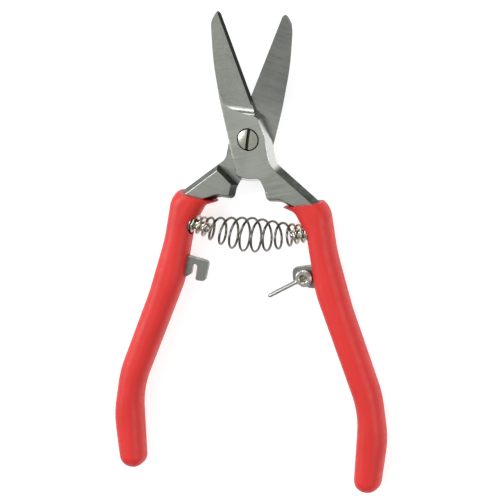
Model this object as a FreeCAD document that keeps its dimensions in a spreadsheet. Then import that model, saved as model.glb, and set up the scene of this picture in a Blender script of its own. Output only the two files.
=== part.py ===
"""Floral snips: two forged levers on a slotted pivot screw, vinyl dipped grips,
a barrel spring between two pegs, and a wire bail that hooks over a notched plate
to hold the blades shut.

Frame: +Y towards the blade tips, +Z out of the front face, origin on the pivot axis
at the rear end of the screw, which is level with the underside of the grips.  The
snips are drawn open, with the spring at its free length.  The two forgings are the
same blank: the back lever is the front one turned over about the Y axis at mid-plane.
Hand side features are drawn on the +X side and turned over for the back lever.
"""
import FreeCAD, Part
import Sketcher
import math
import os

Vector = FreeCAD.Vector
Rotation = FreeCAD.Rotation
Placement = FreeCAD.Placement

# Driving dimensions, in millimetres and degrees.
DIMENSIONS = {
    "mid_plane": 5.6,            # height of the plane where the blades slide
    "half_thickness": 3.5,       # each forging above and below the mid-plane
    "lap_gap": 0.06,             # running gap between the two flat laps
    "cut_reach": 60.0,           # far enough from the pivot to clear the blade
    "draft": 24.5,               # slope of the forged side walls
    "forged_round": 0.6,         # rounding where the walls meet the flat faces
    "shoulder_distance": 17.0,   # pivot to the step where the lap ends
    "shoulder_angle": 41.7,      # turn of the step's line from the X axis
    "shoulder_slope": 10.0,      # lean of the step's wall
    "edge_land": 0.9,            # blade thickness where the honed bevel starts
    "blade_slope": 0.255,         # rise of the ground face per mm from the edge
    "runout_y": 12.4,            # where the grind's run-out crosses the Y axis
    "runout_fall": 0.12,         # fall of the run-out's line per mm along +X
    "runout_radius": 3.8,        # grinding wheel radius where the face runs out
    "bevel_width": 0.95,         # honed bevel along the cutting edge
    "bevel_start": 2.5,          # from the heel of the cutting edge
    "bevel_length": 50.0,
    "bevel_edge": 0.12,          # thickness left at the very edge
    "screw_radius": 2.5,
    "screw_head_radius": 3.85,
    "screw_head_depth": 2.0,     # counterbore depth in the front boss
    "screw_head_dome": 0.5,      # how far the head stands above the boss
    "screw_head_crown": 0.38,    # height of the domed part of the head
    "screw_chamfer": 0.4,
    "head_clearance": 0.5,      # gap round the head in its counterbore
    "slot_width": 1.2,
    "slot_depth": 1.3,
    "slot_turn": -7.0,
    "bore_clearance": 0.06,      # radial running clearance on the screw
    "fit_clearance": 0.02,       # radial clearance of fixed fits
    "nut_flats": 8.0,
    "nut_height": 2.8,
    "nut_chamfer": 0.35,
    "nut_recess_radius": 5.3,
    "nut_recess_depth": 1.2,
    "washer_radius": 4.6,
    "washer_thickness": 0.5,
    "grip_half_thickness": 5.6,
    "grip_round": 4.6,           # rounding of the dipped sleeve
    "grip_wall": 0.9,            # vinyl over the parting line of the core
    "spring_seat_x": 24.6,
    "spring_seat_y": -34.2,
    "peg_droop": 13.0,           # the pegs point this far below level
    "peg_radius": 2.0,
    "peg_length": 9.0,
    "peg_tip_flat": 0.5,
    "peg_shank_radius": 1.5,
    "peg_shank_length": 3.0,
    "seat_radius": 4.3,          # opening in the vinyl round each peg
    "seat_opening": 8.6,         # height of that opening above the seat
    "wire_spring": 0.95,         # spring wire diameter
    "spring_end_radius": 3.3,   # mean radius of the end coils
    "spring_mid_radius": 6.4,    # mean radius at the belly
    "spring_sag": 3.0,           # bow of the spring between its pegs
    "coil_lean": 0.15,           # how far the middle coils lean, per mm of height
    "belly_reach": 19.0,         # half length of the wide part
    "open_reach": 16.0,          # half length of the widely pitched part
    "open_pitch": 4.35,
    "close_reach": 22.6,         # from here out the coils touch
    "close_pitch": 2.5,
    "end_pitch": 1.15,
    "plate_thickness": 2.2,
    "plate_round": 0.3,
    "plate_root": 28.3,          # how deep the catch plates go into the cores
    "rivet_x": 22.1,
    "rivet_y": -51.8,
    "rivet_radius": 1.75,
    "rivet_hole_radius": 1.4,
    "rivet_back_wall": 0.8,
    "rivet_flange_radius": 2.9,
    "rivet_flange": 0.4,
    "rivet_half_length": 3.35,
    "bail_wire": 1.6,
    "bail_eye_radius": 2.65,
    "bail_height": 2.05,         # eye planes above and below the mid-plane
    "bail_length": 16.0,         # rivet to crossbar
    "bail_angle": 210.4,
    "bail_bend": 1.1,
    "bail_neck_radius": 1.3,     # bend between each eye and its arm
    "bail_wrap": 300.0,          # how far each eye goes round the rivet
}

# Corners of outlines, clockwise, as (x, y, corner radius).  Lines and curves are (x, y) points.
GRIP_OUTLINE = [
    (22.2, -17.1, 0), (31.2, -24.2, 9), (34.0, -41.0, 60), (40.2, -62.0, 80), (52.4, -94.5, 40),
    (55.0, -112.0, 40), (53.3, -125.5, 40), (52.2, -133.5, 4.9), (42.4, -133.5, 4.8),
    (44.1, -102.3, 35), (26.7, -57.5, 40), (22.8, -35.2, 4), (18.2, -27.0, 4), (11.0, -24.4, 0),
]
BOSS_SIDE = [(2.1, 10.7, 3), (5.0, 9.0, 2.5), (8.4, 0.2, 8), (10.1, -8.75, 4.5)]
TANG_INNER = [(12.2, -23.5, 5), (6.5, -23.9, 2.1), (5.5, -19.4, 6), (3.75, -16.15, 0.8)]
HEEL = [(-0.3, -16.9, 13), (-5.6, -15.5, 3)]
SPINE = [(-12.3, 11.5, 150), (-15.35, 28.5, 100), (-16.2, 42.0, 12)]
TIP = [(-14.91, 53.8, 2.05)]
TIP_CURVE = [(-16.25, 38.5), (-15.35, 43.3), (-12.6, 48.3)]
DIP_LINE = [(13.0, -25.3), (27.6, -22.4)]
HOOK_OUTLINE = [
    (16.3, -48.8, 1.5), (25.5, -47.0, 0), (28.3, -47.0, 0), (28.3, -55.4, 0), (25.3, -55.4, 0.5),
    (23.6, -54.2, 0.6), (22.9, -50.3, 0.9), (21.0, -50.3, 0.9), (21.9, -56.6, 0.8), (18.0, -56.7, 1.3),
]
BRACKET_OUTLINE = [
    (17.0, -48.3, 2.0), (24.0, -46.9, 0), (28.3, -46.9, 0), (28.3, -55.6, 0), (24.0, -55.6, 1),
    (17.4, -54.4, 2.8),
]

doc = FreeCAD.newDocument("floral_snips")
sheet = doc.addObject("Spreadsheet::Sheet", "dims")
for row, (alias, size) in enumerate(DIMENSIONS.items(), start=1):
    sheet.set(f"A{row}", alias)
    sheet.set(f"B{row}", str(size))
    sheet.setAlias(f"B{row}", alias)
doc.recompute()


def dim(alias):
    """A driving dimension, read from the sheet."""
    return float(getattr(sheet, alias))


# ---------------------------------------------------------------- outlines

def unit(a, b):
    """Unit vector from point a to point b in the plane."""
    step = Vector(b[0] - a[0], b[1] - a[1], 0)
    return step.normalize()


def inset(corners, distance):
    """The clockwise outline moved inwards, with its corner radii adjusted."""
    moved = []
    for i, (x, y, radius) in enumerate(corners):
        before = unit(corners[i - 1], (x, y))
        after = unit((x, y), corners[(i + 1) % len(corners)])
        turn = before.x * after.y - before.y * after.x
        inward = Vector(before.y + after.y, -before.x - after.x, 0)
        shift = inward * (distance / (1 + before.dot(after)))
        new_radius = radius + distance if turn > 0 else max(radius - distance, 0)
        moved.append((x + shift.x, y + shift.y, new_radius))
    return moved


def rounded(corners):
    """Lines and tangent arcs through a closed list of corners."""
    pieces = []
    ends = []
    for i, (x, y, radius) in enumerate(corners):
        here = Vector(x, y, 0)
        before = unit(corners[i - 1], (x, y))
        after = unit((x, y), corners[(i + 1) % len(corners)])
        turn = math.acos(max(-1.0, min(1.0, before.dot(after))))
        reach = radius * math.tan(turn / 2)
        start = here - before * reach
        end = here + after * reach
        if radius:
            bisector = (after - before).normalize()
            middle = here + bisector * (radius / math.cos(turn / 2) - radius)
            pieces.append(Part.Arc(start, middle, end))
        ends.append((start, end))
    for i, (start, end) in enumerate(ends):
        following = ends[(i + 1) % len(ends)][0]
        pieces.append(Part.LineSegment(end, following))
    return pieces


def lever_outline():
    """Outline of the forging at its parting line, blade on -X and handle on +X."""
    core = inset(GRIP_OUTLINE, dim("grip_wall"))[1:-1]
    return BOSS_SIDE + core + TANG_INNER + HEEL + SPINE + TIP


# ---------------------------------------------------------------- document helpers

def new_body(label):
    body = doc.addObject("PartDesign::Body", label)
    body.Label = label
    return body


def new_sketch(body, name, geometry, role="XY_Plane", offset=None, lift="dims.mid_plane"):
    """A sketch on one of the body's own origin planes."""
    sketch = body.newObject("Sketcher::SketchObject", name)
    plane = next(part for part in body.Origin.OriginFeatures if part.Role == role)
    sketch.AttachmentSupport = (plane, [""])
    sketch.MapMode = "FlatFace"
    if offset is not None:
        sketch.AttachmentOffset = offset
    elif lift:
        sketch.setExpression("AttachmentOffset.Base.z", lift)
    sketch.addGeometry(geometry, False)
    doc.recompute()
    return sketch


def circle(radius, x=0.0, y=0.0):
    return Part.Circle(Vector(x, y, 0), Vector(0, 0, 1), radius)


def polygon(points):
    """Closed outline of straight lines through (x, y) points."""
    corners = [Vector(x, y, 0) for x, y in points]
    return [Part.LineSegment(corners[i - 1], corners[i]) for i in range(len(corners))]


def slab(x_low, x_high, y_low, y_high):
    return polygon([(x_low, y_low), (x_high, y_low), (x_high, y_high), (x_low, y_high)])


def bind_radius(sketch, index, expression):
    """Drive a circle's radius from the sheet."""
    sketch.addConstraint(Sketcher.Constraint("Radius", index, sketch.Geometry[index].Radius))
    sketch.setExpression(f"Constraints[{sketch.ConstraintCount - 1}]", expression)


def frame_at(base, x_axis, y_axis):
    """Placement whose local X and Y point along the two given axes."""
    z_axis = x_axis.cross(y_axis)
    return Placement(base, Rotation(x_axis, y_axis, z_axis, "ZXY"))


def extrude(body, kind, name, sketch, length, side="One side", draft=None, reverse=False):
    """A Pad or a Pocket whose length, and slope if any, follow the sheet."""
    feature = body.newObject("PartDesign::" + kind, name)
    feature.Profile = sketch
    feature.SideType = side
    feature.setExpression("Length", length)
    if side == "Two sides":
        feature.setExpression("Length2", length)
    if draft:
        feature.setExpression("TaperAngle", draft)
        feature.setExpression("TaperAngle2", draft)
    feature.Reversed = reverse
    volume = body.Shape.Volume if kind == "Pocket" else 0.0
    doc.recompute()
    if feature.Shape.isNull():
        raise RuntimeError(f"{name} has no shape: {feature.State}")
    if kind == "Pocket" and feature.Shape.Volume > volume - 1e-3:
        raise RuntimeError(name + " cuts nothing")
    return feature


def revolve(body, name, sketch):
    """Turn the sketch once round its own vertical axis."""
    feature = body.newObject("PartDesign::Revolution", name)
    feature.Profile = sketch
    feature.ReferenceAxis = (sketch, ["V_Axis"])
    feature.Angle = 360
    doc.recompute()
    return feature


def face_edges(shape, level):
    """Edges in the two flat faces this far above and below the mid-plane, with their middles in plan."""
    found = []
    for number, edge in enumerate(shape.Edges, start=1):
        box = edge.BoundBox
        if box.ZLength < 1e-6 and abs(abs(box.Center.z - dim("mid_plane")) - level) < 1e-6:
            found.append((f"Edge{number}", Vector(box.Center.x, box.Center.y, 0)))
    return found


def round_edges(body, name, base, edges, radius):
    """Fillet the named edges of a feature."""
    rounding = body.newObject("PartDesign::Fillet", name)
    rounding.Base = (base, edges)
    rounding.setExpression("Radius", radius)
    doc.recompute()
    if rounding.Shape.isNull():
        raise RuntimeError(f"{name} has no shape: {rounding.State}")
    return rounding


def turn_over(body):
    """Turn a hand side body about the Y axis at mid-plane, onto the back lever's side."""
    body.Placement = Placement(Vector(), Rotation(Vector(0, 1, 0), 180))
    body.setExpression("Placement.Base.z", "2 * dims.mid_plane")


# ---------------------------------------------------------------- levers

def seat_frame():
    """Frame of a spring seat on the hand side, local Z pointing along its peg."""
    droop = math.radians(dim("peg_droop"))
    along = Vector(-math.cos(droop), -math.sin(droop), 0)
    base = Vector(dim("spring_seat_x"), dim("spring_seat_y"), dim("mid_plane"))
    return frame_at(base, Vector(0, 0, 1).cross(along), Vector(0, 0, 1))


def cut_lap(lever, tag):
    """Remove the rear half from the blade to the step that stops the other heel."""
    turn = math.radians(dim("shoulder_angle") - 90)
    outward = Vector(math.cos(turn), math.sin(turn), 0)
    place = frame_at(Vector(0, 0, dim("mid_plane")), outward, Vector(0, 0, 1))
    top = dim("lap_gap") / 2
    bottom = -2 * dim("half_thickness")
    far = -dim("cut_reach")
    step = dim("shoulder_distance")
    foot = step + (top - bottom) * math.tan(math.radians(dim("shoulder_slope")))
    profile = polygon([(far, top), (step, top), (foot, bottom), (far, bottom)])
    sketch = new_sketch(lever, tag + "_lap_profile", profile, offset=place)
    extrude(lever, "Pocket", tag + "_lap", sketch, "2 * dims.cut_reach", side="Symmetric")


def blade_directions():
    """Unit vectors along the cutting edge to the tip, and across it to the spine."""
    along = unit(BOSS_SIDE[0], TIP[-1])
    across = Vector(-along.y, along.x, 0)
    return along, across


def grind_face(lever, tag):
    """Hollow-ended flat grind on the outer face of the blade."""
    across = blade_directions()[1]
    slope = dim("blade_slope")
    heading = Vector(1, -dim("runout_fall"), 0)
    touch = Vector(0, dim("runout_y"), 0)
    edge_distance = (touch - Vector(TIP[-1][0], TIP[-1][1], 0)).dot(across)
    height = dim("mid_plane") + dim("edge_land") + slope * edge_distance
    normal = Vector(-slope * across.x, -slope * across.y, 1).normalize()
    axis = Vector(heading.x, heading.y, slope * across.dot(heading)).normalize()
    place = frame_at(Vector(touch.x, touch.y, height), normal.cross(axis), normal)
    radius = dim("runout_radius")
    reach = dim("cut_reach")
    corner = radius * math.sqrt(0.5)
    profile = [
        Part.Arc(Vector(-radius, radius, 0), Vector(-corner, radius - corner, 0), Vector()),
        Part.LineSegment(Vector(), Vector(reach, 0, 0)),
        Part.LineSegment(Vector(reach, 0, 0), Vector(reach, 3 * radius, 0)),
        Part.LineSegment(Vector(reach, 3 * radius, 0), Vector(-radius, 3 * radius, 0)),
        Part.LineSegment(Vector(-radius, 3 * radius, 0), Vector(-radius, radius, 0)),
    ]
    sketch = new_sketch(lever, tag + "_grind_profile", profile, offset=place)
    extrude(lever, "Pocket", tag + "_grind", sketch, "dims.cut_reach", side="Symmetric")


def hone_edge(lever, tag):
    """Narrow bevel along the cutting edge."""
    along, across = blade_directions()
    heel = Vector(BOSS_SIDE[0][0], BOSS_SIDE[0][1], dim("mid_plane"))
    middle = heel + along * (dim("bevel_start") + dim("bevel_length") / 2)
    place = frame_at(middle, across, Vector(0, 0, 1))
    width = dim("bevel_width")
    low = dim("bevel_edge")
    high = dim("edge_land") + dim("blade_slope") * width
    rise = (high - low) / width
    outside = -1.5
    inside = width + 0.3
    above = 2 * dim("half_thickness")
    profile = polygon([
        (outside, low + outside * rise), (inside, low + inside * rise), (inside, above), (outside, above),
    ])
    sketch = new_sketch(lever, tag + "_edge_profile", profile, offset=place)
    extrude(lever, "Pocket", tag + "_edge", sketch, "dims.bevel_length", side="Symmetric")


def sharpen_tip(lever, tag):
    """Spine ground away in a curve that meets the cutting edge near the tip."""
    (low_x, low_y), middle, (high_x, high_y) = TIP_CURVE
    outside = -20.0
    low = Vector(low_x, low_y, 0)
    high = Vector(high_x, high_y, 0)
    low_corner = Vector(outside, low_y, 0)
    high_corner = Vector(outside, high_y, 0)
    profile = [
        Part.Arc(low, Vector(middle[0], middle[1], 0), high),
        Part.LineSegment(high, high_corner),
        Part.LineSegment(high_corner, low_corner),
        Part.LineSegment(low_corner, low),
    ]
    sketch = new_sketch(lever, tag + "_tip_profile", profile)
    extrude(lever, "Pocket", tag + "_tip", sketch, "4 * dims.half_thickness", side="Symmetric")


def bore_boss(lever, tag, recess_radius, recess_depth, clearance):
    """Pivot bore with a recess in the outer face."""
    top = "dims.mid_plane + dims.half_thickness"
    rough_radius = dim("screw_radius")
    recess = new_sketch(lever, tag + "_recess_circle", [circle(rough_radius)], lift=top)
    bind_radius(recess, 0, recess_radius)
    extrude(lever, "Pocket", tag + "_recess", recess, recess_depth)
    bore = new_sketch(lever, tag + "_bore_circle", [circle(rough_radius)], lift=top)
    bind_radius(bore, 0, "dims.screw_radius + " + clearance)
    extrude(lever, "Pocket", tag + "_bore", bore, "2 * dims.half_thickness")


def cut_spring_seat(body, tag):
    """Flat seat for the spring's end, and the hole that holds the peg's shank."""
    place = seat_frame()
    seat = new_sketch(body, tag + "_seat_circle", [circle(dim("seat_radius"))], offset=place)
    bind_radius(seat, 0, "dims.seat_radius")
    extrude(body, "Pocket", tag + "_seat", seat, "dims.seat_opening", reverse=True)
    hole = new_sketch(body, tag + "_shank_circle", [circle(dim("peg_shank_radius"))], offset=place)
    bind_radius(hole, 0, "dims.peg_shank_radius + dims.fit_clearance")
    extrude(body, "Pocket", tag + "_shank_hole", hole, "dims.peg_shank_length + 0.05")


def cut_plate_slot(body, tag, outline, clearance):
    """Slot that holds the root of a catch plate."""
    ys = [corner[1] for corner in outline if corner[0] == dim("plate_root")]
    inner_end = 20.0
    root = slab(inner_end, dim("plate_root") + clearance, min(ys) - clearance, max(ys) + clearance)
    sketch = new_sketch(body, tag + "_slot_outline", root)
    extrude(body, "Pocket", tag + "_slot", sketch,
            f"dims.plate_thickness + {2 * clearance}", side="Symmetric")


def make_lever(label, tag, recess_radius, recess_depth, bore_clearance, plate):
    """A forged lever: blade, boss, cranked tang and the core of its handle."""
    lever = new_body(label)
    outline = new_sketch(lever, tag + "_outline", rounded(lever_outline()))
    blank = extrude(lever, "Pad", tag + "_blank", outline, "dims.half_thickness",
                    side="Two sides", draft="-dims.draft")
    rims = [number for number, middle in face_edges(blank.Shape, dim("half_thickness"))]
    round_edges(lever, tag + "_rounding", blank, rims, "dims.forged_round")
    cut_lap(lever, tag)
    grind_face(lever, tag)
    hone_edge(lever, tag)
    sharpen_tip(lever, tag)
    bore_boss(lever, tag, recess_radius, recess_depth, bore_clearance)
    cut_spring_seat(lever, tag)
    cut_plate_slot(lever, tag, plate, dim("fit_clearance"))
    return lever


def front_lever():
    return make_lever("front_lever", "front", "dims.screw_head_radius + dims.head_clearance",
                      "dims.screw_head_depth", "dims.bore_clearance", BRACKET_OUTLINE)


def back_lever():
    lever = make_lever("back_lever", "back", "dims.nut_recess_radius",
                       "dims.nut_recess_depth", "dims.fit_clearance", HOOK_OUTLINE)
    turn_over(lever)
    return lever


# ---------------------------------------------------------------- grips

def above_dip_line():
    """Everything above the line that the vinyl was dipped to."""
    (x_in, y_in), (x_out, y_out) = DIP_LINE
    slope = (y_out - y_in) / (x_out - x_in)
    overhang = 14
    left = x_in - overhang
    right = x_out + overhang
    return polygon([(left, y_in + slope * (left - x_in)), (right, y_in + slope * (right - x_in)),
                    (right, 0), (left, 0)])


def make_grip(label, tag, lever, plate, turned):
    """Dipped vinyl sleeve: a rounded bar cut by the forging that it covers."""
    form = new_body(tag + "_form")
    outline = new_sketch(form, tag + "_outline", rounded(GRIP_OUTLINE))
    blank = extrude(form, "Pad", tag + "_blank", outline, "dims.grip_half_thickness", side="Two sides")
    level = dim("grip_half_thickness")
    top_end = (Vector(GRIP_OUTLINE[0][0], GRIP_OUTLINE[0][1], 0)
               + Vector(GRIP_OUTLINE[-1][0], GRIP_OUTLINE[-1][1], 0)) * 0.5
    rims = [number for number, middle in face_edges(blank.Shape, level)
            if middle.distanceToPoint(top_end) > 1]
    round_edges(form, tag + "_rounding", blank, rims, "dims.grip_round")
    dip = new_sketch(form, tag + "_dip_outline", above_dip_line())
    extrude(form, "Pocket", tag + "_dip", dip, "4 * dims.grip_half_thickness", side="Symmetric")
    cut_spring_seat(form, tag)
    cut_plate_slot(form, tag, plate, 0.1)
    if turned:
        turn_over(form)
    grip = doc.addObject("Part::Cut", label)
    grip.Label = label
    grip.Base = form
    grip.Tool = lever
    doc.recompute()
    return grip


# ---------------------------------------------------------------- pivot

def pivot_screw():
    """Slotted screw: domed head, plain shank and a chamfered end level with the nut."""
    screw = new_body("pivot_screw")
    shank = dim("screw_radius")
    head = dim("screw_head_radius")
    face = dim("mid_plane") + dim("half_thickness")
    seat = face - dim("screw_head_depth") + dim("fit_clearance")
    crown = face + dim("screw_head_dome")
    rim = crown - dim("screw_head_crown")
    chamfer = dim("screw_chamfer")
    half_way_up = 0.75
    bulge = rim + half_way_up * (crown - rim)
    profile = polygon([(0, rim), (0, 0), (shank - chamfer, 0), (shank, chamfer), (shank, seat),
                       (head, seat), (head, rim)])[1:]
    profile.append(Part.LineSegment(Vector(0, crown, 0), Vector(0, rim, 0)))
    profile.append(Part.Arc(Vector(head, rim, 0), Vector(head / 2, bulge, 0), Vector(0, crown, 0)))
    sketch = new_sketch(screw, "screw_profile", profile, role="XZ_Plane", lift=None)
    revolve(screw, "screw_turned", sketch)
    half = dim("slot_width") / 2
    lean = Placement(Vector(0, 0, crown), Rotation(Vector(0, 0, 1), dim("slot_turn")))
    past = 1.5 * head
    slot = new_sketch(screw, "slot_outline", slab(-half, half, -past, past), offset=lean)
    extrude(screw, "Pocket", "screw_slot", slot, "dims.slot_depth")
    return screw


def pivot_nut():
    """Thin hexagon nut whose outer face is level with the end of the screw."""
    nut = new_body("pivot_nut")
    corner = dim("nut_flats") / math.sqrt(3)
    hexagon = polygon([(corner * math.cos(math.radians(60 * i)), corner * math.sin(math.radians(60 * i)))
                       for i in range(6)])
    sketch = new_sketch(nut, "nut_outline", hexagon + [circle(dim("screw_radius"))], lift=None)
    bind_radius(sketch, 6, "dims.screw_radius + dims.fit_clearance")
    blank = extrude(nut, "Pad", "nut_blank", sketch, "dims.nut_height")
    rims = [f"Edge{number}" for number, edge in enumerate(blank.Shape.Edges, start=1)
            if edge.BoundBox.ZLength < 1e-6 and edge.BoundBox.ZMin < 1e-6 and len(edge.Vertexes) == 2]
    chamfer = nut.newObject("PartDesign::Chamfer", "nut_chamfer")
    chamfer.Base = (blank, rims)
    chamfer.setExpression("Size", "dims.nut_chamfer")
    doc.recompute()
    return nut


def pivot_washer():
    """Spring washer between the nut and the floor of the rear recess."""
    washer = new_body("pivot_washer")
    rings = [circle(dim("screw_radius")), circle(dim("washer_radius"))]
    sketch = new_sketch(washer, "washer_outline", rings, lift="dims.nut_height")
    bind_radius(sketch, 0, "dims.screw_radius + 0.1")
    bind_radius(sketch, 1, "dims.washer_radius")
    extrude(washer, "Pad", "washer_blank", sketch, "dims.washer_thickness")
    return washer


# ---------------------------------------------------------------- spring and pegs

def spring_peg(label, turned):
    """Domed peg with a thinner shank pressed into the lever."""
    peg = new_body(label)
    shank = dim("peg_shank_radius")
    radius = dim("peg_radius")
    depth = dim("peg_shank_length")
    length = dim("peg_length")
    flat = dim("peg_tip_flat")
    dome = radius - flat
    bulge = dome * math.sqrt(0.5)
    shoulder = length - dome
    points = [(flat, length), (0, length), (0, -depth), (shank, -depth), (shank, 0), (radius, 0),
              (radius, shoulder)]
    profile = polygon(points)[1:]
    profile.append(Part.Arc(Vector(radius, shoulder, 0), Vector(flat + bulge, shoulder + bulge, 0),
                            Vector(flat, length, 0)))
    sketch = new_sketch(peg, label + "_profile", profile, role="XZ_Plane", lift=None)
    revolve(peg, label + "_turned", sketch)
    frame = seat_frame()
    if turned:
        frame = Placement(Vector(), Rotation(Vector(0, 1, 0), 180)).multiply(frame)
    peg.Placement = frame
    peg.setExpression("Placement.Base.x", "-dims.spring_seat_x" if turned else "dims.spring_seat_x")
    peg.setExpression("Placement.Base.z", "dims.mid_plane")
    doc.recompute()
    return peg


def spring_turns(x):
    """Turns of the wire from the middle of the spring out to x."""
    distance = abs(x)
    opening = min(distance, dim("open_reach"))
    closing = max(0.0, min(distance, dim("close_reach")) - dim("open_reach"))
    end = max(0.0, distance - dim("close_reach"))
    turns = opening / dim("open_pitch") + closing / dim("close_pitch") + end / dim("end_pitch")
    return math.copysign(turns, x)


def spring_station(turns, half_length):
    """Place along the spring where the wire has made this many turns from its middle."""
    low = -half_length
    high = half_length
    for _ in range(40):
        middle = (low + high) / 2
        if spring_turns(middle) < turns:
            low = middle
        else:
            high = middle
    return (low + high) / 2


def spring_point(x, half_length):
    """Centre of the wire in the coil that stands square to the bowed axis at x."""
    narrow = min(1.0, abs(x) / dim("belly_reach")) ** 1.5
    radius = dim("spring_mid_radius") + narrow * (dim("spring_end_radius") - dim("spring_mid_radius"))
    sag = dim("spring_sag")
    centre = Vector(x, dim("spring_seat_y") - sag * (1 - (x / half_length) ** 2), dim("mid_plane"))
    upward = Vector(-2 * sag * x / half_length ** 2, 1, 0).normalize()
    phase = 2 * math.pi * spring_turns(x)
    depth = radius * math.sin(phase)
    lean = dim("coil_lean") * (1 - (x / half_length) ** 2)
    return centre + upward * (radius * math.cos(phase)) + Vector(lean * depth, 0, -depth)


def barrel_spring():
    """Left-hand barrel spring, closed towards both ends and bowed a little."""
    end_gap = 0.3
    steps_per_turn = 12
    half_length = dim("spring_seat_x") - dim("wire_spring") / 2 - end_gap
    last = spring_turns(half_length)
    steps = int(2 * last * steps_per_turn)
    points = []
    for step in range(steps + 1):
        x = spring_station(last * (2 * step / steps - 1), half_length)
        points.append(spring_point(x, half_length))
    curve = Part.BSplineCurve()
    curve.interpolate(points)
    spine = Part.Wire(curve.toShape())
    start = curve.value(curve.FirstParameter)
    heading = curve.tangent(curve.FirstParameter)[0]
    ring = Part.Wire(Part.makeCircle(dim("wire_spring") / 2, start, heading))
    spring = doc.addObject("Part::Feature", "spring")
    spring.Label = "spring"
    spring.Shape = spine.makePipeShell([ring], True, True)
    return spring


# ---------------------------------------------------------------- catch

def catch_plate(label, outline):
    """Flat steel plate whose root is let into the handle's core."""
    plate = new_body(label)
    sketch = new_sketch(plate, label + "_outline", rounded(outline))
    blank = extrude(plate, "Pad", label + "_blank", sketch, "dims.plate_thickness", side="Symmetric")
    rims = [number for number, middle in face_edges(blank.Shape, dim("plate_thickness") / 2)]
    round_edges(plate, label + "_rounding", blank, rims, "dims.plate_round")
    return plate


def catch_hook():
    """Notched plate on the back lever."""
    hook = catch_plate("catch_hook", HOOK_OUTLINE)
    turn_over(hook)
    return hook


def catch_bracket():
    """Plate on the front lever that carries the rivet."""
    bracket = catch_plate("catch_bracket", BRACKET_OUTLINE)
    hole = circle(dim("rivet_radius"), dim("rivet_x"), dim("rivet_y"))
    eye = new_sketch(bracket, "rivet_hole_circle", [hole], lift="dims.mid_plane + dims.plate_thickness")
    bind_radius(eye, 0, "dims.rivet_radius + dims.fit_clearance")
    extrude(bracket, "Pocket", "rivet_hole", eye, "2 * dims.plate_thickness")
    return bracket


def rivet_rim(side):
    """Rolled outer rim of one of the rivet's two flanges, and the line down to its barrel."""
    flange = dim("rivet_flange_radius")
    half = dim("rivet_half_length")
    thick = dim("rivet_flange")
    neck = half - thick
    rim_start = Vector(flange - thick / 2, side * half, 0)
    rim_middle = Vector(flange, side * (half - thick / 2), 0)
    rim_end = Vector(flange - thick / 2, side * neck, 0)
    return [
        Part.Arc(rim_start, rim_middle, rim_end),
        Part.LineSegment(rim_end, Vector(dim("rivet_radius"), side * neck, 0)),
    ]


def catch_rivet():
    """Rivet that the bail turns on, with a deep hole in its rolled front end."""
    rivet = new_body("catch_rivet")
    hole = dim("rivet_hole_radius")
    barrel = dim("rivet_radius")
    half = dim("rivet_half_length")
    thick = dim("rivet_flange")
    neck = half - thick
    floor = dim("rivet_back_wall") - half
    roll = thick * (1 - math.sqrt(0.5))
    mouth = Vector(hole + thick, half, 0)
    rim = dim("rivet_flange_radius") - thick / 2
    profile = rivet_rim(1) + rivet_rim(-1) + [
        Part.Arc(Vector(hole, neck, 0), Vector(hole + roll, half - roll, 0), mouth),
        Part.LineSegment(mouth, Vector(rim, half, 0)),
        Part.LineSegment(Vector(barrel, neck, 0), Vector(barrel, -neck, 0)),
        Part.LineSegment(Vector(rim, -half, 0), Vector(0, -half, 0)),
        Part.LineSegment(Vector(0, -half, 0), Vector(0, floor, 0)),
        Part.LineSegment(Vector(0, floor, 0), Vector(hole, floor, 0)),
        Part.LineSegment(Vector(hole, floor, 0), Vector(hole, neck, 0)),
    ]
    sketch = new_sketch(rivet, "rivet_profile", profile, role="XZ_Plane", lift=None)
    revolve(rivet, "rivet_turned", sketch)
    rivet.setExpression("Placement.Base.x", "dims.rivet_x")
    rivet.setExpression("Placement.Base.y", "dims.rivet_y")
    rivet.setExpression("Placement.Base.z", "dims.mid_plane")
    return rivet


def arc_about(centre, radius, start, end):
    """Arc in plan about a centre between two angles in radians."""
    points = []
    for angle in (start, (start + end) / 2, end):
        points.append(centre + Vector(radius * math.cos(angle), radius * math.sin(angle), 0))
    return Part.Arc(*points).toShape()


def bail_side(side):
    """Eye, neck and arm on one side of the plate, ending where the crossbar starts."""
    eye = dim("bail_eye_radius")
    neck = dim("bail_neck_radius")
    bend = dim("bail_bend")
    middle = Vector(0, 0, side * dim("bail_height"))
    turn = math.asin(neck / (eye + neck))
    neck_end = Vector((eye + neck) * math.cos(turn), 0, 0)
    eye_arc = arc_about(middle, eye, -turn - math.radians(dim("bail_wrap")), -turn)
    neck_arc = arc_about(middle + neck_end - Vector(0, neck, 0), neck, math.pi - turn, math.pi / 2)
    tip = middle + Vector(dim("bail_length"), 0, 0)
    bend_start = tip - Vector(bend, 0, 0)
    bend_middle = bend_start + Vector(bend * math.sqrt(0.5), 0, -side * bend * (1 - math.sqrt(0.5)))
    bend_end = tip - Vector(0, 0, side * bend)
    return [
        eye_arc,
        neck_arc,
        Part.makeLine(middle + neck_end, bend_start),
        Part.Arc(bend_start, bend_middle, bend_end).toShape(),
    ]


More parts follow.
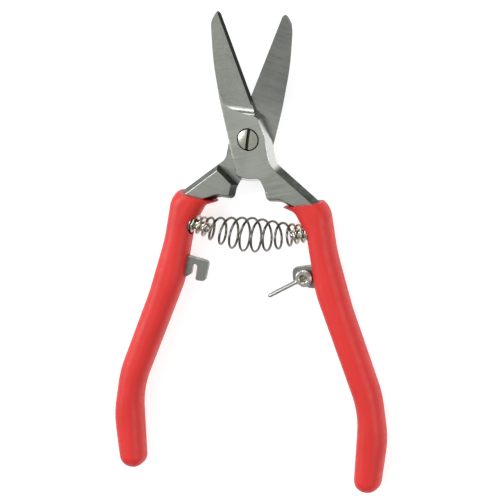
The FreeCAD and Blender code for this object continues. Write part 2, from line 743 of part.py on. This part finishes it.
def latch_bail():
    """Bent wire: an eye on each side of the plate, two arms and a crossbar."""
    half_bar = dim("bail_height") - dim("bail_bend")
    length = dim("bail_length")
    crossbar = Part.makeLine(Vector(length, 0, half_bar), Vector(length, 0, -half_bar))
    edges = bail_side(1) + [crossbar] + bail_side(-1)[::-1]
    spine = Part.Wire(Part.sortEdges(edges)[0])
    start = spine.OrderedEdges[0]
    point = start.valueAt(start.FirstParameter)
    heading = start.tangentAt(start.FirstParameter)
    if (point - spine.OrderedVertexes[0].Point).Length > 1e-6:
        point = start.valueAt(start.LastParameter)
        heading = start.tangentAt(start.LastParameter)
    ring = Part.Wire(Part.makeCircle(dim("bail_wire") / 2, point, heading))
    bail = doc.addObject("Part::Feature", "latch_bail")
    bail.Label = "latch_bail"
    bail.Shape = spine.makePipeShell([ring], True, False)
    bail.Placement = Placement(Vector(dim("rivet_x"), dim("rivet_y"), dim("mid_plane")),
                               Rotation(Vector(0, 0, 1), dim("bail_angle")))
    return bail


# ---------------------------------------------------------------- assembly

def build():
    """Every sub-part of the snips, in the open rest pose."""
    front = front_lever()
    back = back_lever()
    return [
        front,
        back,
        make_grip("right_grip", "right", front, BRACKET_OUTLINE, turned=False),
        make_grip("left_grip", "left", back, HOOK_OUTLINE, turned=True),
        pivot_screw(),
        pivot_washer(),
        pivot_nut(),
        barrel_spring(),
        spring_peg("right_spring_peg", turned=False),
        spring_peg("left_spring_peg", turned=True),
        catch_hook(),
        catch_bracket(),
        catch_rivet(),
        latch_bail(),
    ]


def check(subparts):
    """Stop before anything is written if an object failed or a shape is not a valid solid."""
    for thing in doc.Objects:
        if "Invalid" in thing.State or "Error" in thing.State:
            raise RuntimeError(f"{thing.Label} failed: {thing.State}")
    for part in subparts:
        shape = part.Shape
        if shape.isNull() or not shape.isValid() or shape.Volume <= 0 or not shape.Solids:
            raise RuntimeError(part.Label + " has no valid solid")


subparts = build()
doc.recompute()
check(subparts)
os.makedirs("parts", exist_ok=True)
for part in subparts:
    part.Shape.exportStep(os.path.join("parts", part.Label + ".step"))
    print(part.Label, len(part.Shape.Solids), "solid,", round(part.Shape.Volume, 1), "mm3")
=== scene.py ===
"""Looks of the floral snips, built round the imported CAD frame: finishes for the steel pieces,
a wire mesh for the spring, and dipped vinyl grips."""
import math

import bpy
import numpy as np
from mathutils import Matrix, Vector


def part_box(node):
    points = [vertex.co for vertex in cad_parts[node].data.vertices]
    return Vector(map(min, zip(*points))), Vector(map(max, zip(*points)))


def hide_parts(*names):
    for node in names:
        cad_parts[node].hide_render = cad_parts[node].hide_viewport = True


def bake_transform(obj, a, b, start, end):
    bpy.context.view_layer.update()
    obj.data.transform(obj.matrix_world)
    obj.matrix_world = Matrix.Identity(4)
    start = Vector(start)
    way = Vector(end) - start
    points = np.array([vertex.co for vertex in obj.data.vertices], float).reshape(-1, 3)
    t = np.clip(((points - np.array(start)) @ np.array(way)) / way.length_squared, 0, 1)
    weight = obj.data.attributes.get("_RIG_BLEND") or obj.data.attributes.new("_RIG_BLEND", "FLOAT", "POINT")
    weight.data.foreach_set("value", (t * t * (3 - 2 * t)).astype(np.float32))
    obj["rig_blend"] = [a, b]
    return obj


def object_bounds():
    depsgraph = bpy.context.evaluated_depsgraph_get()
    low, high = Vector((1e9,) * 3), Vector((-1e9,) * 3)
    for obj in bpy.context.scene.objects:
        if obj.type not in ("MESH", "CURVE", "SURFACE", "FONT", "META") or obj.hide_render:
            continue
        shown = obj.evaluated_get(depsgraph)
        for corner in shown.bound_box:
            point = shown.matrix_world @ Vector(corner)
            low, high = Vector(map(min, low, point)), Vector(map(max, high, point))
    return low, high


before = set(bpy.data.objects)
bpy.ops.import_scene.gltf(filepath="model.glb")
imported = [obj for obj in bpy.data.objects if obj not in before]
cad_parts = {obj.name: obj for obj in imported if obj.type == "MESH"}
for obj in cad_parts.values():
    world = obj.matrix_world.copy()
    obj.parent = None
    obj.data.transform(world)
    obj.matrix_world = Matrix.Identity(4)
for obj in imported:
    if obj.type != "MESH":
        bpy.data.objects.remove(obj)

CAD_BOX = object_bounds()
MM = 0.001

# Sizes of the spring, in millimetres, as the CAD model winds it.
WIRE = 0.95
SEAT_X = 24.6                 # half the distance between the two spring seats
SEAT_Y = -34.2
SEAT_GAP = 0.3
HALF_SPRING = SEAT_X - WIRE / 2 - SEAT_GAP
END_RADIUS = 3.3              # mean radius of the end turns
BELLY_RADIUS = 6.4
BELLY_REACH = 19.0            # half length of the wide part
SAG = 3.0                     # bow of the spring between its pegs
LEAN = 0.15                   # how far the middle turns lean, per mm of height
OPEN_REACH = 16.0             # half length of the widely pitched part
CLOSE_REACH = 22.6            # from here out the turns all but touch
OPEN_PITCH = 4.35
CLOSE_PITCH = 2.5
END_PITCH = 1.15

MID_PLANE = (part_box("front_lever")[0].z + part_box("front_lever")[1].z) / 2
SCREW_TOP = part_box("pivot_screw")[1].z


# ---------------------------------------------------------------- node helpers

class Nodes:
    """Short way to add and link shader nodes in one material or world."""

    def __init__(self, owner):
        owner.use_nodes = True
        self.tree = owner.node_tree
        self.tree.nodes.clear()

    def add(self, kind, inputs=None, **settings):
        node = self.tree.nodes.new(kind)
        for name, value in settings.items():
            setattr(node, name, value)
        for name, value in (inputs or {}).items():
            self.feed(node.inputs[name], value)
        return node

    def feed(self, socket, value):
        if isinstance(value, bpy.types.NodeSocket):
            self.tree.links.new(value, socket)
        elif isinstance(value, bpy.types.Node):
            self.tree.links.new(value.outputs[0], socket)
        else:
            socket.default_value = value

    def math(self, operation, a, b=0.5):
        return self.add("ShaderNodeMath", {0: a, 1: b}, operation=operation).outputs[0]

    def ramp(self, value, low, high, out_low=0.0, out_high=1.0):
        return self.add("ShaderNodeMapRange", {"Value": value, "From Min": low, "From Max": high,
                                               "To Min": out_low, "To Max": out_high},
                        interpolation_type="SMOOTHSTEP").outputs["Result"]

    def mix(self, share, a, b):
        node = self.add("ShaderNodeMix", data_type="RGBA")
        self.feed(node.inputs["Factor"], share)
        self.feed(node.inputs["A"], a)
        self.feed(node.inputs["B"], b)
        return node.outputs["Result"]

    def blend(self, share, a, b):
        node = self.add("ShaderNodeMix", data_type="FLOAT")
        self.feed(node.inputs["Factor"], share)
        self.feed(node.inputs["A"], a)
        self.feed(node.inputs["B"], b)
        return node.outputs["Result"]

    def tinted(self, shade, tint):
        """Colour with each channel a fixed share of the shade."""
        parts = [self.math("MULTIPLY", shade, part) for part in tint]
        return self.add("ShaderNodeCombineColor", dict(enumerate(parts))).outputs[0]

    def noise(self, vector, scale, detail=3.0, roughness=0.5):
        return self.add("ShaderNodeTexNoise", {"Vector": vector, "Scale": scale, "Detail": detail,
                                               "Roughness": roughness}).outputs["Fac"]

    def stretched(self, vector, turn, along, across):
        """Coordinates squeezed so that noise drawn in them runs in lines at an angle in plan."""
        turned = self.add("ShaderNodeMapping", {"Vector": vector, "Rotation": (0, 0, -turn)})
        return self.add("ShaderNodeMapping", {"Vector": turned, "Scale": (along, across, across)}).outputs[0]


def new_material(name):
    material = bpy.data.materials.new(name)
    return material, Nodes(material)


def finish_surface(nodes, inputs):
    surface = nodes.add("ShaderNodeBsdfPrincipled", inputs)
    nodes.add("ShaderNodeOutputMaterial", {"Surface": surface.outputs[0]})


def metal_surface(nodes, colour, rough, relief, strength):
    """Bare metal with fine relief, a fiftieth of a millimetre deep at full strength."""
    bump = nodes.add("ShaderNodeBump", {"Height": relief, "Strength": strength, "Distance": 0.02 * MM})
    finish_surface(nodes, {"Base Color": colour, "Metallic": 1.0, "Roughness": rough,
                           "Normal": bump.outputs[0]})


def grey(value, tint=(1.0, 1.0, 1.0)):
    return (value * tint[0], value * tint[1], value * tint[2], 1.0)


# ---------------------------------------------------------------- materials

def counterbore_shade_mask(n, point, height):
    """Mask of the metal next to the pivot that lies deeper than the outer faces, as in the screw's recess,
    where painted shade goes.
    """
    in_plan = n.add("ShaderNodeVectorMath", {0: point, 1: (1, 1, 0)}, operation="MULTIPLY").outputs[0]
    from_pivot = n.add("ShaderNodeVectorMath", {0: in_plan}, operation="LENGTH").outputs["Value"]
    from_mid_plane = n.math("ABSOLUTE", n.math("SUBTRACT", height, MID_PLANE))
    sunken = n.ramp(from_mid_plane, 3.45 * MM, 3.30 * MM)
    return n.math("MULTIPLY", n.ramp(from_pivot, 4.50 * MM, 4.42 * MM), sunken)


def ground_face(n, lines, cloud, shade):
    """Colour of the satin ground faces."""
    shade = n.math("MULTIPLY", shade, n.ramp(lines, 0.25, 0.75, 0.95, 1.04))
    shade = n.math("MULTIPLY", shade, n.ramp(cloud, 0.3, 0.7, 0.92, 1.08))
    return n.tinted(shade, (0.99, 1.03, 0.93))


def forged_wall(n, point, pits, level, on_tang, blade_dark_reflection_share):
    """Colour of the side walls: a painted highlight on the boss walls, brightest where they round over
    towards the face; a painted dark reflection, mottled like forge scale, on the tang walls; and a painted
    dark reflection along the blade walls.
    """
    # Painted dark reflection on the tang walls, mottled like forge scale.
    tang_wall_dark_shade = n.ramp(n.noise(point, 260.0, 4.0, 0.65), 0.3, 0.7, 0.04, 0.10)
    scale = n.tinted(tang_wall_dark_shade, (0.98, 1.10, 0.98))
    wear = n.ramp(pits, 0.3, 0.7, 0.95, 1.03)
    # Painted highlight: the boss walls are painted brighter where they turn up towards the face, with faint
    # random wear.
    boss_wall_highlight = n.math("MULTIPLY", n.ramp(level, 0.42, 0.56, 0.58, 0.80), wear)
    boss = n.tinted(boss_wall_highlight, (1.0, 1.01, 0.98))
    wall = n.mix(on_tang, boss, scale)
    # Painted dark reflection: the walls past the boss, along the blade, are painted near black.
    return n.mix(blade_dark_reflection_share, wall, grey(0.08, (1.0, 1.08, 1.0)))


def forged_steel(name, grain_turn, blade_shade, body_shade, tang_shade):
    """Forged lever: satin ground faces with fine lines, and the side walls of forged_wall."""
    material, n = new_material(name)
    place = n.add("ShaderNodeTexCoord")
    point = place.outputs["Object"]
    axes = n.add("ShaderNodeSeparateXYZ", {"Vector": point})
    facing = n.add("ShaderNodeSeparateXYZ", {"Vector": place.outputs["Normal"]})
    level = n.math("ABSOLUTE", facing.outputs["Z"])
    is_wall = n.ramp(level, 0.93, 0.60)

    # The step where the lap ends lies across this direction, which points out along each tang.
    sideways = n.math("MULTIPLY", n.math("ABSOLUTE", axes.outputs["X"]), 0.665)
    out_from_pivot = n.math("SUBTRACT", sideways, n.math("MULTIPLY", axes.outputs["Y"], 0.747))
    on_tang = n.ramp(out_from_pivot, 13.5 * MM, 16.6 * MM)
    on_blade = n.ramp(axes.outputs["Y"], 4.0 * MM, 16.0 * MM)
    # Share of the painted dark reflection on the walls along the blade.
    blade_dark_reflection_share = n.ramp(axes.outputs["Y"], 11.0 * MM, 15.0 * MM)

    lines = n.noise(n.stretched(point, grain_turn, 70, 2400), 1.0, 2.0, 0.6)
    cloud = n.noise(point, 70.0, 3.0, 0.5)
    pits = n.noise(point, 1500.0, 3.0, 0.6)
    shade = n.blend(on_blade, body_shade, blade_shade)
    shade = n.blend(on_tang, shade, tang_shade)
    face = ground_face(n, lines, cloud, shade)
    wall = forged_wall(n, point, pits, level, on_tang, blade_dark_reflection_share)
    colour = n.mix(is_wall, face, wall)
    # Painted shade: the metal deep in the screw's counterbore is painted near black.
    recess_painted_shade = grey(0.03, (1.0, 1.0, 0.8))
    colour = n.mix(counterbore_shade_mask(n, point, axes.outputs["Z"]), colour, recess_painted_shade)

    face_rough = n.math("ADD", n.ramp(lines, 0.3, 0.7, 0.30, 0.36), n.ramp(pits, 0.4, 0.7, 0.0, 0.06))
    wall_rough = n.ramp(on_tang, 0.0, 1.0, 0.20, 0.36)
    rough = n.blend(is_wall, face_rough, wall_rough)
    relief = n.math("ADD", n.math("MULTIPLY", lines, 0.6), n.math("MULTIPLY", pits, 0.4))
    metal_surface(n, colour, rough, relief, 0.08)
    return material


def plated_steel(name, shade, tint, roughness, wear_scale=500.0):
    """Plain or plated steel with faint handling marks."""
    material, n = new_material(name)
    point = n.add("ShaderNodeTexCoord").outputs["Object"]
    cloud = n.noise(point, wear_scale, 4.0, 0.6)
    fine = n.noise(point, 5 * wear_scale, 3.0, 0.7)
    colour = n.mix(n.ramp(cloud, 0.35, 0.65), grey(shade, tint), grey(shade * 0.8, tint))
    rough = n.ramp(cloud, 0.3, 0.7, roughness, roughness + 0.12)
    metal_surface(n, colour, rough, fine, 0.10)
    return material


def coil_wire():
    """Drawn spring wire, dull in the open turns, with a painted highlight brightening the closer turns at
    each end.
    """
    material, n = new_material("coil_wire")
    point = n.add("ShaderNodeTexCoord").outputs["Object"]
    along = n.add("ShaderNodeSeparateXYZ", {"Vector": point}).outputs["X"]
    cloud = n.noise(point, 900.0, 4.0, 0.6)
    fine = n.noise(point, 4500.0, 3.0, 0.7)
    # Painted highlight: the closer turns at each end are painted brighter than the open turns.
    end_turn_highlight = n.ramp(n.math("ABSOLUTE", along), 15.0 * MM, 19.0 * MM)
    shade = n.math("MULTIPLY", n.blend(end_turn_highlight, 0.16, 0.52), n.ramp(cloud, 0.35, 0.65, 0.85, 1.05))
    colour = n.tinted(shade, (1.0, 1.0, 0.86))
    rough = n.ramp(cloud, 0.3, 0.7, 0.22, 0.34)
    metal_surface(n, colour, rough, fine, 0.10)
    return material


def slotted_steel(name, shade, tint, roughness):
    """Plated screw with painted shade in its slot."""
    material, n = new_material(name)
    point = n.add("ShaderNodeTexCoord").outputs["Object"]
    height = n.add("ShaderNodeSeparateXYZ", {"Vector": point}).outputs["Z"]
    cloud = n.noise(point, 420.0, 4.0, 0.6)
    fine = n.noise(point, 2500.0, 3.0, 0.7)
    plate = n.mix(n.ramp(cloud, 0.35, 0.65), grey(shade, tint), grey(shade * 0.8, tint))
    # Painted shade: the screw's slot is painted near black below the top of the head.
    slot_shade_mask = n.ramp(height, SCREW_TOP - 0.45 * MM, SCREW_TOP - 0.95 * MM)
    colour = n.mix(slot_shade_mask, plate, grey(0.07, (1.0, 1.0, 0.75)))
    rough = n.ramp(cloud, 0.3, 0.7, roughness, roughness + 0.12)
    metal_surface(n, colour, rough, fine, 0.10)
    return material


def red_vinyl():
    """Dipped vinyl: slightly mottled red, semi-gloss, with a faint orange peel."""
    material, n = new_material("red_vinyl")
    point = n.add("ShaderNodeTexCoord").outputs["Object"]
    cloud = n.noise(point, 55.0, 3.0, 0.5)
    peel = n.noise(point, 420.0, 2.0, 0.5)
    fine = n.noise(point, 2400.0, 2.0, 0.5)
    colour = n.mix(n.ramp(cloud, 0.3, 0.7), (0.67, 0.022, 0.018, 1), (0.60, 0.017, 0.013, 1))
    rough = n.ramp(peel, 0.3, 0.7, 0.44, 0.56)
    relief = n.math("ADD", n.math("MULTIPLY", peel, 0.8), n.math("MULTIPLY", fine, 0.15))
    bump = n.add("ShaderNodeBump", {"Height": relief, "Strength": 0.25, "Distance": 0.08 * MM})
    finish_surface(n, {"Base Color": colour, "Roughness": rough, "IOR": 1.5,
                       "Subsurface Weight": 0.08, "Subsurface Radius": (1.0, 0.25, 0.2),
                       "Subsurface Scale": 0.8 * MM, "Normal": bump.outputs[0]})
    return material


def assign(node, material):
    """Give every material slot of a CAD node the same finish."""
    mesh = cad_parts[node].data
    if not mesh.materials:
        mesh.materials.append(material)
    for i in range(len(mesh.materials)):
        mesh.materials[i] = material


# ---------------------------------------------------------------- spring

def spring_turns(x):
    """Turns of the wire from the middle of the spring out to x, in millimetres."""
    distance = abs(x)
    turns = min(distance, OPEN_REACH) / OPEN_PITCH
    turns += max(0.0, min(distance, CLOSE_REACH) - OPEN_REACH) / CLOSE_PITCH
    turns += max(0.0, distance - CLOSE_REACH) / END_PITCH
    return math.copysign(turns, x)


def spring_centre(x):
    """Centre of the wire, in millimetres, in the coil round the bowed axis at x; middle coils lean most."""
    narrow = min(1.0, abs(x) / BELLY_REACH) ** 1.5
    radius = BELLY_RADIUS + narrow * (END_RADIUS - BELLY_RADIUS)
    bow = 1 - (x / HALF_SPRING) ** 2
    centre = Vector((x, SEAT_Y - SAG * bow, MID_PLANE / MM))
    upward = Vector((-2 * SAG * x / HALF_SPRING ** 2, 1, 0)).normalized()
    phase = 2 * math.pi * spring_turns(x)
    depth = radius * math.sin(phase)
    return centre + upward * (radius * math.cos(phase)) + Vector((LEAN * bow * depth, 0, -depth))


def spring_stations(steps_per_turn):
    """Places along the axis that are evenly spaced along the winding."""
    fine = np.linspace(-HALF_SPRING, HALF_SPRING, 4001)
    turns = np.array([spring_turns(x) for x in fine])
    count = int((turns[-1] - turns[0]) * steps_per_turn)
    return np.interp(np.linspace(turns[0], turns[-1], count), turns, fine)


def tube_stations(points, radius):
    """Centre, heading, relative width and index of each ring of a tube with domed ends."""
    last = len(points) - 1
    headings = [(points[min(i + 1, last)] - points[max(i - 1, 0)]).normalized() for i in range(last + 1)]
    dome = [(0.35, -0.94), (0.75, -0.66), (0.95, -0.3)]
    start = [(points[0] + headings[0] * (back * radius), headings[0], width, 0) for width, back in dome]
    middle = [(point, headings[i], 1.0, i) for i, point in enumerate(points)]
    finish = [(points[last] - headings[last] * (back * radius), headings[last], width, last)
              for width, back in reversed(dome)]
    return start + middle + finish


def tube_mesh(name, points, radius, sides):
    """Mesh tube along points, with no twist, and the index of the point behind each vertex."""
    angles = [2 * math.pi * k / sides for k in range(sides)]
    verts = []
    sections = []
    side = None
    for centre, heading, width, index in tube_stations(points, radius):
        if side is None:
            side = heading.orthogonal().normalized()
        side = (side - heading * side.dot(heading)).normalized()
        up = heading.cross(side)
        verts += [(centre + (side * math.cos(a) + up * math.sin(a)) * (radius * width)) * MM for a in angles]
        sections += [index] * sides
    faces = []
    for first in range(0, len(verts) - sides, sides):
        for k in range(sides):
            a = first + k
            b = first + (k + 1) % sides
            faces.append((a, b, b + sides, a + sides))
    faces.append(tuple(range(sides))[::-1])
    faces.append(tuple(range(len(verts) - sides, len(verts))))
    mesh = bpy.data.meshes.new(name)
    mesh.from_pydata(verts, [], faces)
    mesh.polygons.foreach_set("use_smooth", [True] * len(mesh.polygons))
    mesh.update()
    return mesh, sections


def make_spring(material):
    """The wound wire, whose middle turns close up between the pegs as the handles close."""
    steps_per_turn = 28
    wire_sides = 12
    stations = spring_stations(steps_per_turn)
    points = [spring_centre(x) for x in stations]
    mesh, sections = tube_mesh("spring_wire_coil", points, WIRE / 2, wire_sides)
    mesh.materials.append(material)
    coil = bpy.data.objects.new("spring_wire_coil", mesh)
    bpy.context.scene.collection.objects.link(coil)
    low = points[0] * MM
    high = points[-1] * MM
    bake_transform(coil, "back_half", "front_half", start=(-OPEN_REACH * MM, low.y, low.z),
             end=(OPEN_REACH * MM, high.y, high.z))
    share = np.clip((stations + OPEN_REACH) / (2 * OPEN_REACH), 0, 1)[sections]
    mesh.attributes["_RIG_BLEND"].data.foreach_set("value", share.astype(np.float32))
    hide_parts("spring")


# ---------------------------------------------------------------- studio

def make_floor():
    """White floor just below the spring's belly."""
    size = 6.0
    gap = 0.2 * MM
    level = CAD_BOX[0].z - gap
    mesh = bpy.data.meshes.new("floor")
    mesh.from_pydata([(-size, -size, level), (size, -size, level), (size, size, level), (-size, size, level)],
                     [], [(0, 1, 2, 3)])
    floor = bpy.data.objects.new("floor", mesh)
    bpy.context.scene.collection.objects.link(floor)
    material, n = new_material("floor_white")
    grain = n.noise(n.add("ShaderNodeTexCoord").outputs["Object"], 30.0)
    finish_surface(n, {"Base Color": n.mix(grain, grey(0.42), grey(0.48)), "Roughness": 0.9,
                       "Emission Color": grey(1.0), "Emission Strength": 0.75})
    mesh.materials.append(material)


def add_area(name, place, aim, size, power):
    lamp = bpy.data.lights.new(name, "AREA")
    lamp.shape = "RECTANGLE"
    lamp.size = size[0]
    lamp.size_y = size[1]
    lamp.energy = power
    thing = bpy.data.objects.new(name, lamp)
    thing.location = place
    thing.rotation_euler = (Vector(aim) - Vector(place)).to_track_quat("-Z", "Y").to_euler()
    bpy.context.scene.collection.objects.link(thing)


def light_studio():
    """A light tent: bright overhead, dim towards the horizon, with soft boxes on three sides."""
    world = bpy.data.worlds.new("studio")
    bpy.context.scene.world = world
    n = Nodes(world)
    direction = n.add("ShaderNodeSeparateXYZ", {"Vector": n.add("ShaderNodeTexCoord").outputs["Generated"]})
    glow = n.ramp(direction.outputs["Z"], 0.15, 0.75, 0.12, 0.46)
    background = n.add("ShaderNodeBackground", {"Color": (0.98, 1.0, 0.99, 1), "Strength": glow})
    n.add("ShaderNodeOutputWorld", {"Surface": background.outputs[0]})
    centre = (0, -0.04, 0)
    add_area("back_box", (-0.25, 0.85, 0.80), centre, (0.8, 0.4), 6.5)
    add_area("right_box", (0.85, -0.15, 0.80), centre, (0.45, 0.8), 4.5)
    add_area("left_box", (-0.90, 0.05, 0.75), centre, (0.35, 0.7), 8.0)


def place_camera():
    """Long lens, from in front, to the right and a little towards the tips, as in a product shot."""
    distance = 1.134
    target = Vector((-0.14 * MM, -43.15 * MM, MID_PLANE))
    back = Vector((0.35, 0.25, 1.0)).normalized()
    right = Vector((0, 1, 0)).cross(back).normalized()
    up = back.cross(right)
    roll = Matrix.Rotation(math.radians(0.3), 4, "Z")
    camera = bpy.data.cameras.new("camera")
    camera.lens = 216
    camera.sensor_width = 36
    camera.clip_start = 0.01
    camera.clip_end = 30
    thing = bpy.data.objects.new("camera", camera)
    rotation = Matrix((right, up, back)).transposed().to_4x4()
    thing.matrix_world = Matrix.Translation(target + back * distance) @ rotation @ roll
    bpy.context.scene.collection.objects.link(thing)
    bpy.context.scene.camera = thing


# ---------------------------------------------------------------- build

bpy.context.scene.view_settings.view_transform = "Standard"
place_camera()
light_studio()
make_floor()

front_steel = forged_steel("front_steel", math.radians(15), 0.41, 0.42, 0.36)
back_steel = forged_steel("back_steel", math.radians(-15), 0.215, 0.37, 0.34)
nickel = plated_steel("nickel_steel", 0.72, (1.0, 0.96, 0.86), 0.16)
screw_steel = slotted_steel("screw_steel", 0.66, (1.0, 1.0, 0.86), 0.16)
coil_steel = coil_wire()
bail_steel = plated_steel("bail_wire", 0.50, (1.0, 0.99, 0.92), 0.26, 900.0)
catch_steel = plated_steel("catch_steel", 0.33, (1.0, 1.0, 0.94), 0.28)
vinyl = red_vinyl()

assign("front_lever", front_steel)
assign("back_lever", back_steel)
for node in ("left_grip", "right_grip"):
    assign(node, vinyl)
assign("pivot_screw", screw_steel)
for node in ("pivot_nut", "pivot_washer", "left_spring_peg", "right_spring_peg", "catch_rivet"):
    assign(node, nickel)
for node in ("catch_hook", "catch_bracket"):
    assign(node, catch_steel)
assign("latch_bail", bail_steel)
make_spring(coil_steel)
